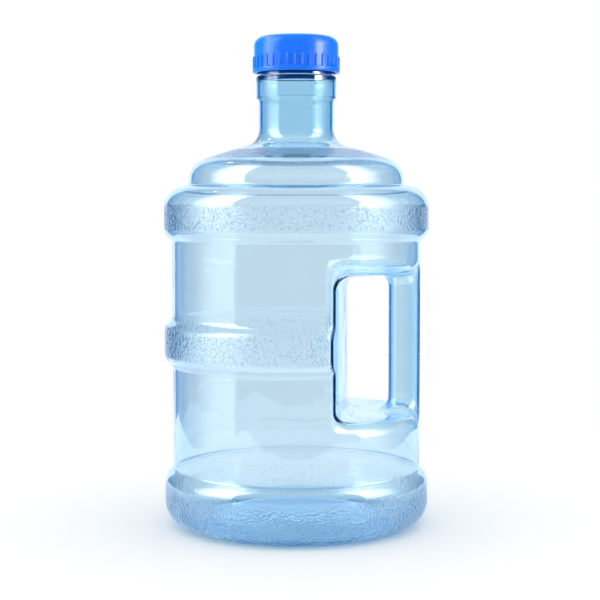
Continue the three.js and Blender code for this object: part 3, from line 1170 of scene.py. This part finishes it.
@dataclass
class Bottle:
    """The blow-moulded bottle, with its rings, neck, hand pocket and grip."""

    sizes: BottleSizes
    pocket: PocketSizes
    thread: ThreadSizes
    skin: SkinSizes = SkinSizes()
    fine_angle: float = math.radians(1.4)
    coarse_angle: float = math.radians(4.0)
    fine_reach: float = math.radians(82.0)
    net_step: float = 2.0
    net_low: float = 62.0
    net_high: float = 194.0
    net_inner: float = 16.0
    net_offset: float = 0.37
    net_clearance: float = 0.5
    arc_step: float = math.radians(9.0)
    longest: float = 7.0

    def bowl_corners(self) -> list[Corner]:
        """Corners of the outer face, from the middle of the base to the foot of the neck.

        Returns:
            Radius, height and rounding of each corner.
        """
        size = self.sizes
        ring_middle = self.ring_middle()
        half = size.mid_ring_height / 2.0
        flat = half - size.ring_depth
        dome_radius = size.ring_radius - size.shoulder_step
        edge_radius, edge_height = size.cone_edge
        foot = size.ring_foot_rounding
        return [
            (0.0, size.push_up_height, 0.0),
            (size.push_up_radius, size.push_up_height, size.push_up_rounding),
            (size.foot_inner_radius, 0.0, size.foot_rounding),
            (size.ring_radius, 0.0, size.base_rounding),
            (size.ring_radius, size.base_ring_height - size.ring_depth, size.ring_rounding),
            (size.panel_radius, size.base_ring_height, foot),
            (size.panel_radius, ring_middle - half, size.mid_ring_foot_rounding),
            (size.ring_radius, ring_middle - flat, size.mid_ring_low_rounding),
            (size.ring_radius, ring_middle + flat, size.mid_ring_rounding),
            (size.panel_radius, ring_middle + half, size.mid_ring_foot_rounding),
            (size.panel_radius, size.panel_top, foot),
            (size.ring_radius, size.panel_top + size.ring_depth, size.top_ring_foot_rounding),
            (size.ring_radius, size.step_height, size.top_ring_rounding),
            (dome_radius, size.step_height, size.step_rounding),
            (edge_radius, edge_height, size.dome_rounding),
            (size.neck_radius, size.cone_height(size.neck_radius), size.neck_rounding),
        ]

    def outer_corners(self) -> list[Corner]:
        """Corners of the whole outer face, up to the start of the rim.

        Returns:
            Radius, height and rounding of each corner.
        """
        size = self.sizes
        foot = size.cone_height(size.neck_radius) + size.neck_length
        collar_radius = size.neck_radius + size.collar_depth
        return [
            *self.bowl_corners(),
            (size.neck_radius, foot, size.collar_rounding),
            (collar_radius, foot + size.collar_slope, size.collar_rounding),
            (collar_radius, size.collar_top, size.collar_rounding),
            (size.finish_radius, size.collar_top, size.finish_foot_rounding),
            (size.finish_radius, size.rim_height, size.rim_rounding),
            (size.bore_radius, size.rim_height, size.rim_rounding),
            (size.bore_radius, size.rim_height - size.rim_reach, 0.0),
        ]

    def inner_corners(self) -> list[Corner]:
        """Corners of the inner face, from the middle of the base up the bore.

        Returns:
            Radius, height and rounding of each corner.
        """
        size = self.sizes
        bowl = parallel_corners(self.bowl_corners(), size.wall)[:-1]
        inset = size.wall / math.cos(size.cone_angle)
        foot = size.cone_height(size.neck_radius) + size.neck_length
        groove = size.bore_radius + size.collar_depth
        round_ = size.collar_rounding
        return [
            *bowl,
            (
                size.bore_radius,
                size.cone_height(size.bore_radius) - inset,
                size.neck_rounding + size.neck_wall,
            ),
            (size.bore_radius, foot, round_),
            (groove, foot + size.collar_slope, round_),
            (groove, size.collar_top - size.collar_slope, round_),
            (size.bore_radius, size.collar_top, round_),
            (size.bore_radius, size.rim_height - size.rim_reach, 0.0),
        ]

    def node_angles(self) -> np.ndarray:
        """Angles of the grid's nodes: fine beside the grip and coarse behind.

        Returns:
            The angles, from the lowest, once round.
        """
        fine = np.linspace(
            -self.fine_reach,
            self.fine_reach,
            2 * round(self.fine_reach / self.fine_angle) + 1,
        )
        rest = FULL_TURN - 2.0 * self.fine_reach
        coarse = self.fine_reach + np.linspace(0.0, rest, round(rest / self.coarse_angle) + 1)
        return np.concatenate([fine, coarse[1:-1]])

    def stipple_mask(self, places: np.ndarray) -> np.ndarray:
        """Strength of the pebbled texture.

        Args:
            places: Points of the bottle.

        Returns:
            Strengths, which are 0 on the inner face, 1 on the rings and most on the shoulder.
        """
        size, skin = self.sizes, self.skin
        radii, heights = np.hypot(places[:, 0], places[:, 1]), places[:, 2]
        ring_wall = radii > size.ring_radius - skin.ring_margin
        base = (heights < skin.base_top) & (radii > size.foot_inner_radius - skin.base_inset)
        under_heel = np.minimum(heights - skin.heel_middle[1], 0.0)
        base &= np.hypot(radii - skin.heel_middle[0], under_heel) > skin.heel_radius
        from_middle = np.abs(heights - self.ring_middle() - skin.middle_lift)
        middle = ring_wall & (from_middle < skin.middle_half)
        top = ring_wall & (heights > skin.top_band[0]) & (heights < skin.top_band[1])
        cone = heights > size.cone_height(radii) - skin.cone_margin
        shoulder = cone & (radii > skin.cone_band[0]) & (radii < skin.cone_band[1])
        shoulder &= heights > size.step_height
        return (base | middle | top).astype(float) + skin.cone_strength * shoulder

    def depth_and_shade_mask(self, places: np.ndarray) -> np.ndarray:
        """How deep the wall's painted tint is: up the neck, towards the bottom, and as painted
        shade along the grip's edges.

        Args:
            places: Points of the bottle.

        Returns:
            Amounts from 0 to 1.
        """
        size, skin = self.sizes, self.skin
        radii, heights = np.hypot(places[:, 0], places[:, 1]), places[:, 2]
        foot = size.cone_height(size.neck_radius)
        neck = smooth_step(foot + skin.neck_reach[0], foot + skin.neck_reach[1], heights)
        # Deeper in colour towards the bottom.
        heel = 1.0 - smooth_step(*skin.heel_reach, heights)
        low = self.ring_middle() - self.pocket.height / 2.0
        high = low + self.pocket.height
        outer_end, inner_end = skin.end_reach
        beside = smooth_step(low + outer_end, low + inner_end, heights)
        beside *= 1.0 - smooth_step(high - inner_end, high - outer_end, heights)
        # Painted shade along the grip's inner and outer edges, where its walls are seen edge on.
        across = places[:, 0] - size.panel_radius + self.pocket.grip_thickness
        edges = 1.0 - smooth_step(*skin.inner_edge, across)
        edges += skin.outer_share * smooth_step(*skin.outer_edge, across)
        grip = skin.grip_tint_and_shade[0] + skin.grip_tint_and_shade[1] * edges
        grip = grip * smooth_step(*skin.grip_reach, across) * beside
        grip = grip * (radii > skin.grip_least_radius)
        return np.maximum.reduce([skin.neck_depth * neck, skin.heel_depth * heel, grip])

    def ring_middle(self) -> float:
        """Height of the middle of the ring that is level with the hand pocket."""
        return self.pocket.middle(self.sizes.panel_top)

    def outline_with_thread(self, outline: np.ndarray, angles: np.ndarray) -> np.ndarray:
        """Radii of every ring and meridian of the upper outline, with the thread raised.

        Args:
            outline: Points of the upper outer outline.
            angles: Angles of the meridians.

        Returns:
            Radii as rings by meridians.
        """
        size = self.sizes
        radii = np.repeat(outline[:, :1], len(angles), axis=1)
        threaded = np.abs(outline[:, 0] - size.finish_radius) < 1e-3
        radii[threaded] += self.thread.ridge(angles, outline[threaded, 1], size.rim_height)
        return radii

    def build(self) -> bpy.types.Object:
        """Makes the bottle as one closed wall.

        Returns:
            The bottle's object.
        """
        outer = rounded_outline(self.outer_corners(), self.arc_step, self.longest)
        inner = rounded_outline(self.inner_corners(), self.arc_step, self.longest)
        nodes = self.node_angles()
        following = np.append(nodes[1:], nodes[0] + FULL_TURN)
        angles = (nodes + following) / 2.0
        climbing = outer[: int(np.argmax(outer[:, 1] > self.sizes.panel_top + 1.0))]
        side = climbing[int(np.argmax(climbing[:, 0] > self.sizes.ring_radius - 1e-3)) :]
        field_ = WallField(self.sizes, self.pocket, side)
        reach = self.sizes.ring_radius + 2.0 * self.net_step
        radii = np.arange(self.net_inner, reach, self.net_step)
        heights = np.arange(self.net_low, self.net_high + 0.5 * self.net_step, self.net_step)
        grid = RoundGrid(nodes, radii + self.net_offset, heights)
        values = field_.distance(grid.nodes)
        parts = MeshParts()
        ends = []
        for outline, level in ((outer, 0.0), (inner, -self.sizes.wall)):
            flip = level < 0.0
            net = grid.surface(values - level)
            places = relaxed(net, field_, level)
            first = parts.count
            parts.add_points(places)
            quads = net.quads[:, ::-1] if flip else net.quads
            parts.faces.extend(map(tuple, (quads + first).tolist()))
            low_edge = self.net_low + 0.5 * self.net_step
            high_edge = heights[-1] - 0.5 * self.net_step
            foot_index = int(np.argmax(outline[:, 0] > self.sizes.panel_radius - 4.0))
            rising = np.arange(len(outline)) >= foot_index
            below = outline[~rising | (outline[:, 1] < low_edge - self.net_clearance)][1:]
            above = outline[rising & (outline[:, 1] > high_edge + self.net_clearance)]
            lower = parts.add_rings(ring_points(below[:, 0], below[:, 1], angles), flip)
            wide = above[:, 0] if flip else self.outline_with_thread(above, angles)
            upper = parts.add_rings(ring_points(wide, above[:, 1], angles), flip)
            parts.add_band(lower[-1], net.bottom + first, flip)
            parts.add_band(net.top + first, upper[0], flip)
            parts.add_pole(lower[0], outline[0, 1], flip)
            ends.append(upper[-1])
        parts.add_band(ends[0], ends[1])
        masks = {"stipple": self.stipple_mask, "deep": self.depth_and_shade_mask}
        return parts.build("bottle_wall", masks)


@dataclass
class ScrewCap:
    """The ribbed cap with its inside thread."""

    bottom: float
    top: float
    band_radius: float
    bottle: BottleSizes
    thread: ThreadSizes
    rib_count: int = 36
    rib_depth: float = 1.0
    rib_width: float = 1.3
    rib_height: float = 8.6
    band_height: float = 2.8
    band_rounding: float = 0.6
    top_thickness: float = 2.3
    top_rounding: float = 6.5
    seat_depth: float = 3.0
    rib_start: float = math.radians(-92.4)
    middle_radius: float = 3.0
    band_slope: float = 0.5
    band_top_rounding: float = 0.3
    band_foot_rounding: float = 0.25
    hollow_rounding: float = 0.3
    lip_height: float = 0.3
    outer_arc_step: float = math.radians(9.0)
    outer_longest: float = 0.9
    inner_arc_step: float = math.radians(20.0)
    inner_longest: float = 0.5

    def outer_outline(self) -> np.ndarray:
        """Outline of the outer face without its ribs, from the lower edge to the crown.

        Returns:
            Radius and height of each point.
        """
        body_radius = self.band_radius - self.rib_depth
        band_top = self.bottom + self.band_height
        corners = [
            (self.hollow_radius(), self.bottom, 0.0),
            (self.band_radius, self.bottom, self.band_rounding),
            (self.band_radius, band_top, self.band_top_rounding),
            (body_radius, band_top + self.band_slope, self.band_foot_rounding),
            (body_radius, self.top, self.top_rounding),
            (self.middle_radius, self.top, 0.0),
        ]
        return rounded_outline(corners, self.outer_arc_step, self.outer_longest)

    def hollow_radius(self) -> float:
        """Inside radius of the skirt."""
        return self.bottle.finish_radius + self.thread.depth + self.thread.radial_gap

    def inner_outline(self) -> np.ndarray:
        """Outline of the hollow, from the middle of its ceiling down to the lower edge.

        Returns:
            Radius and height of each point.
        """
        ceiling = self.top - self.top_thickness
        seat_radius = self.bottle.finish_radius + self.thread.radial_gap
        seat = ceiling - self.seat_depth
        slope = self.hollow_radius() - seat_radius
        corners = [
            (self.middle_radius, ceiling, 0.0),
            (seat_radius, ceiling, self.hollow_rounding),
            (seat_radius, seat, self.hollow_rounding),
            (self.hollow_radius(), seat - slope, self.hollow_rounding),
            (self.hollow_radius(), self.bottom + self.lip_height, 0.0),
            (self.hollow_radius(), self.bottom, 0.0),
        ]
        return rounded_outline(corners, self.inner_arc_step, self.inner_longest)

    def meridians(self) -> np.ndarray:
        """Angles of the meridians, close together at each rib's edges.

        Returns:
            The angles, once round.
        """
        pitch = FULL_TURN / self.rib_count
        half = self.rib_width / self.band_radius / 2.0
        edge = half * np.array([0.45, 0.75, 1.0, 1.25, 1.55, 2.4])
        stops = np.concatenate([[-pitch / 2.0], -edge[::-1], edge])
        starts = self.rib_start + pitch * np.arange(self.rib_count)
        return (starts[:, None] + stops[None, :]).ravel()

    def rib_shape(self, angles: np.ndarray, heights: np.ndarray) -> np.ndarray:
        """How far the ribs stand out at each angle and height.

        Args:
            angles: Angles of the meridians.
            heights: Heights of the rings.

        Returns:
            Depths as rings by meridians.
        """
        pitch = FULL_TURN / self.rib_count
        nearest = np.abs((angles - self.rib_start + pitch / 2.0) % pitch - pitch / 2.0)
        half = self.rib_width / self.band_radius / 2.0
        across = 1.0 - smooth_step(0.72 * half, 1.28 * half, nearest)
        band_top = self.bottom + self.band_height
        end = band_top + self.rib_height
        along = smooth_step(band_top - 0.2, band_top, heights)
        along = along * (1.0 - smooth_step(end - 0.9, end, heights))
        return self.rib_depth * along[:, None] * across[None, :]

    def build(self) -> bpy.types.Object:
        """Makes the cap as one closed shell.

        Returns:
            The cap's object.
        """
        angles = self.meridians()
        parts = MeshParts()
        outline = self.outer_outline()
        radii = outline[:, :1] + self.rib_shape(angles, outline[:, 1])
        above_band = outline[:, 1] > self.bottom + self.band_height
        limit = np.where(above_band, self.band_radius, outline[:, 0])[:, None]
        outer = parts.add_rings(
            ring_points(np.minimum(radii, limit), outline[:, 1], angles), False
        )
        hollow = self.inner_outline()
        wide = np.repeat(hollow[:, :1], len(angles), axis=1)
        threaded = np.abs(hollow[:, 0] - self.hollow_radius()) < 1e-3
        widths = (self.thread.root_width + self.thread.crest_width) / 2.0
        hanging = self.bottle.rim_height - widths - self.thread.flank_gap
        wide[threaded] -= self.thread.ridge(angles, hollow[threaded, 1], hanging)
        wide[-1] = hollow[-1, 0]
        inner = parts.add_rings(ring_points(wide, hollow[:, 1], angles), False)
        parts.add_band(inner[-1], outer[0])
        parts.add_pole(outer[-1], self.top, flip=True)
        parts.add_pole(inner[0], self.top - self.top_thickness, flip=False)
        return parts.build("cap_shell")


@dataclass
class SealDisc:
    """The soft disc that the cap presses on the neck's rim."""

    radius: float
    bottom: float
    top: float
    rounding: float = 0.4
    bead_radius: float = 21.0
    bead_height: float = 0.12

    def build(self) -> bpy.types.Object:
        """Makes the disc with its rounded edge and a pressed ring on its lower face.

        Returns:
            The disc's object.
        """
        angles = np.linspace(0.0, FULL_TURN, 128, endpoint=False)
        corners = [
            (0.0, self.bottom + self.bead_height, 0.0),
            (self.bead_radius, self.bottom + self.bead_height, 0.3),
            (self.bead_radius + 0.8, self.bottom, 0.3),
            (self.radius, self.bottom, self.rounding),
            (self.radius, self.top, self.rounding),
            (0.0, self.top, 0.0),
        ]
        outline = rounded_outline(corners, math.radians(15.0), 3.0)
        parts = MeshParts()
        rings = parts.add_rings(
            ring_points(outline[1:-1, 0], outline[1:-1, 1], angles), False
        )
        parts.add_pole(rings[0], outline[0, 1])
        parts.add_pole(rings[-1], outline[-1, 1], flip=True)
        return parts.build("seal_disc")


# ---------------------------------------------------------------------------
# Studio
# ---------------------------------------------------------------------------


@dataclass(frozen=True)
class SoftBox:
    """One studio light. A narrow spread keeps its light on what it is aimed at."""

    name: str
    azimuth: float
    height: float
    distance: float
    width: float
    tall: float
    power: float
    spread: float = 180.0
    mirrored: bool = False

    def place(self, target: Vector) -> None:
        """Adds the light to the scene.

        Args:
            target: The point that the light faces.
        """
        lamp = bpy.data.lights.new(self.name, "AREA")
        lamp.shape = "RECTANGLE"
        lamp.size = self.width
        lamp.size_y = self.tall
        lamp.energy = self.power
        lamp.spread = math.radians(self.spread)
        made = bpy.data.objects.new(self.name, lamp)
        angle = math.radians(self.azimuth)
        made.location = (
            self.distance * math.sin(angle),
            -self.distance * math.cos(angle),
            self.height,
        )
        made.rotation_mode = "QUATERNION"
        made.rotation_quaternion = (target - made.location).to_track_quat("-Z", "Y")
        made.visible_camera = False
        made.visible_transmission = False
        made.visible_glossy = self.mirrored
        bpy.context.scene.collection.objects.link(made)


@dataclass(frozen=True)
class MirroredPanel:
    """A bright panel of the room as the jug mirrors it, with soft or hard edges.

    Directions are angles in degrees from the +Y axis, growing towards +X.
    """

    from_angle: tuple[float, float]
    to_angle: tuple[float, float]

    def amount(self, kit: NodeKit, turn: bpy.types.NodeSocket) -> bpy.types.NodeSocket:
        """Share of the panel that shows at a direction.

        Args:
            kit: The world's nodes.
            turn: Direction around the upright axis, in degrees.

        Returns:
            A value from 0 to 1.
        """
        rise = kit.ramp(turn, *self.from_angle, 0.0, 1.0)
        fall = kit.ramp(turn, *self.to_angle, 1.0, 0.0)
        return kit.math("MULTIPLY", rise, fall)


@dataclass
class Studio:
    """Camera, soft lights, white surroundings and the pale floor."""

    camera_side: float = 0.0026
    camera_distance: float = 1.0368
    camera_height: float = 0.2244
    camera_drop: float = math.radians(3.70)
    lens: float = 88.9
    sensor: float = 36.0
    floor_half: float = 0.43
    surround: float = 1.0
    mirrored_colour: tuple[float, float, float, float] = (0.02, 0.17, 0.46, 1.0)
    backdrop: MirroredPanel = MirroredPanel((-29.5, -27.5), (27.5, 29.5))
    left_panel: MirroredPanel = MirroredPanel((-124.0, -121.0), (-100.0, -70.0))
    right_panel: MirroredPanel = MirroredPanel((72.0, 112.0), (117.0, 121.0))
    low_levels: tuple[float, float] = (1.4, 1.3)
    high_level: float = 6.5
    level_lift: tuple[float, float] = (0.0, 14.0)
    panel_fade: tuple[float, float] = (45.0, 70.0)
    backdrop_fade: tuple[float, float] = (55.0, 80.0)
    overhead: float = 0.15

    def add_camera(self) -> None:
        """Adds the camera and makes it the scene's own."""
        lens = bpy.data.cameras.new("studio_camera")
        lens.lens = self.lens
        lens.sensor_width = self.sensor
        camera = bpy.data.objects.new("studio_camera", lens)
        camera.location = (self.camera_side, -self.camera_distance, self.camera_height)
        camera.rotation_euler = (math.pi / 2.0 - self.camera_drop, 0.0, 0.0)
        bpy.context.scene.collection.objects.link(camera)
        bpy.context.scene.camera = camera

    def add_lights(self, middle: Vector, cap: Vector) -> None:
        """Adds the soft lights of the room and the narrow ones for the cap.

        Args:
            middle: The middle of the jug, which the room's lights face.
            cap: The middle of the cap, which the narrow lights face.
        """
        # Fields: name, azimuth, height, distance, width, tall, power, spread, mirrored.
        room = (
            SoftBox("left_softbox", -72.0, 0.55, 1.3, 0.8, 1.0, 1.2),
            SoftBox("right_softbox", 80.0, 0.55, 1.3, 0.8, 1.0, 1.2),
            SoftBox("top_softbox", 0.0, 1.6, 0.5, 1.2, 1.2, 1.6),
        )
        for box in room:
            box.place(middle)
        narrow = (
            SoftBox("left_cap_spark", -121.0, 0.75, 0.42, 0.12, 0.06, 0.008, 15.0, True),
            SoftBox("left_cap_fill", -80.0, 0.40, 0.60, 0.10, 0.10, 0.045, 20.0),
            SoftBox("right_cap_panel", 66.0, 0.43, 0.60, 0.30, 0.11, 0.09, 32.0, True),
        )
        for box in narrow:
            box.place(cap)

    def add_surroundings(self) -> None:
        """Adds the white room that shows behind the jug, and the room that the jug mirrors.

        The mirrored room is a white backdrop, deep blue flanks and two panels that are brightest
        above the height of the jug.
        """
        world = bpy.data.worlds.new("studio_world")
        world.use_nodes = True
        kit = NodeKit(world.node_tree)
        world.node_tree.nodes.clear()
        place = kit.add("ShaderNodeTexCoord")
        split = kit.add("ShaderNodeSeparateXYZ")
        kit.join(place.outputs["Generated"], split.inputs[0])
        turn = kit.math("ARCTAN2", split.outputs["X"], split.outputs["Y"])
        turn = kit.math("DEGREES", turn)
        lift = kit.math("DEGREES", kit.math("ARCSINE", split.outputs["Z"]))
        light = kit.ramp(lift, *self.backdrop_fade, 1.0, self.overhead)
        total = kit.math("MULTIPLY", self.backdrop.amount(kit, turn), light)
        for panel, low_level in zip((self.left_panel, self.right_panel), self.low_levels):
            level = kit.ramp(lift, *self.level_lift, low_level, self.high_level)
            shown = kit.math("MULTIPLY", panel.amount(kit, turn), level)
            shown = kit.math("MULTIPLY", shown, kit.ramp(lift, *self.panel_fade, 1.0, 0.0))
            total = kit.math("ADD", total, shown)
        mirrored = kit.add("ShaderNodeBackground")
        mirrored.inputs["Color"].default_value = self.mirrored_colour
        panels = kit.add("ShaderNodeBackground")
        panels.inputs["Color"].default_value = (1.0, 1.0, 1.0, 1.0)
        kit.join(total, panels.inputs["Strength"])
        both = kit.add("ShaderNodeAddShader")
        kit.join(mirrored.outputs[0], both.inputs[0])
        kit.join(panels.outputs[0], both.inputs[1])
        white = kit.add("ShaderNodeBackground")
        white.inputs["Color"].default_value = (1.0, 1.0, 1.0, 1.0)
        white.inputs["Strength"].default_value = self.surround
        path = kit.add("ShaderNodeLightPath")
        blend = kit.add("ShaderNodeMixShader")
        kit.join(kit.math("MINIMUM", path.outputs["Glossy Depth"], 1.0), blend.inputs["Fac"])
        kit.join(white.outputs[0], blend.inputs[1])
        kit.join(both.outputs[0], blend.inputs[2])
        output = kit.add("ShaderNodeOutputWorld")
        kit.join(blend.outputs[0], output.inputs["Surface"])
        bpy.context.scene.world = world
        bpy.context.scene.view_settings.view_transform = "Standard"

    def add_floor(self) -> None:
        """Adds the pale floor, which isn't part of the jug."""
        half = self.floor_half
        mesh = bpy.data.meshes.new("studio_floor")
        corners = [(-half, -half, 0.0), (half, -half, 0.0), (half, half, 0.0), (-half, half, 0.0)]
        mesh.from_pydata(corners, [], [(0, 1, 2, 3)])
        floor = bpy.data.objects.new("studio_floor", mesh)
        bpy.context.scene.collection.objects.link(floor)
        paint = bpy.data.materials.new("pale_floor")
        paint.use_nodes = True
        shader = paint.node_tree.nodes["Principled BSDF"]
        shader.inputs["Base Color"].default_value = (0.985, 0.985, 0.985, 1.0)
        shader.inputs["Roughness"].default_value = 1.0
        shader.inputs["Specular IOR Level"].default_value = 0.0
        mesh.materials.append(paint)


# ---------------------------------------------------------------------------
# Assembly
# ---------------------------------------------------------------------------


def box_mm(node: str) -> tuple[np.ndarray, np.ndarray]:
    """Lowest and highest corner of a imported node, in millimetres."""
    low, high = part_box(node)
    return np.array(low) / MM, np.array(high) / MM


def dress(
    piece: bpy.types.Object, material: bpy.types.Material, body: str, node: str
) -> None:
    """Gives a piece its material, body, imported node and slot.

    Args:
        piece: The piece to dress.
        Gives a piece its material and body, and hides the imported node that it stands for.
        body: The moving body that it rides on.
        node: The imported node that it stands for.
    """
    piece.data.materials.append(material)
    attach(piece, body)
    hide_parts(node)
    log.info("%s rides on %s and stands for %s", piece.name, body, node)


def main() -> None:
    """Builds the jug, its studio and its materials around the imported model."""
    logging.basicConfig(level=logging.INFO, format="%(name)s: %(message)s")
    log.info("bodies in the packed frame: %s", ", ".join(frame["bodies"]))
    jug_low, jug_high = box_mm("jug_body")
    cap_low, cap_high = box_mm("screw_cap")
    seal_low, seal_high = box_mm("cap_seal")

    studio = Studio()
    studio.add_camera()
    studio.add_floor()
    studio.add_surroundings()
    cap_middle = 0.5 * float(cap_low[2] + cap_high[2])
    studio.add_lights(
        Vector((0.0, 0.0, 0.5 * float(jug_high[2]) * MM)), Vector((0.0, 0.0, cap_middle * MM))
    )

    bottle_sizes = BottleSizes(ring_radius=float(jug_high[0]), rim_height=float(jug_high[2]))
    thread = ThreadSizes()
    pebbles = pebble_group()
    moulding = moulding_group()

    bottle = Bottle(bottle_sizes, PocketSizes(), thread).build()
    dress(bottle, ClearFinish().material(pebbles, moulding), "jug", "jug_body")

    cap = ScrewCap(
        float(cap_low[2]), float(cap_high[2]), float(cap_high[0]), bottle_sizes, thread
    ).build()
    blue = MouldedFinish(
        "cap_blue", (0.0, 0.105, 0.74, 1.0), (0.02, 0.48, 0.98, 1.0), Feel.SATIN, sheen=0.5
    )
    dress(cap, blue.material(moulding), "cap", "screw_cap")

    seal = SealDisc(float(seal_high[0]), float(seal_low[2]), float(seal_high[2])).build()
    foam = MouldedFinish(
        "seal_foam", (0.80, 0.83, 0.85, 1.0), (0.9, 0.92, 0.93, 1.0), Feel.SOFT
    )
    dress(seal, foam.material(moulding), "seal", "cap_seal")


if __name__ == "__main__":
    main()
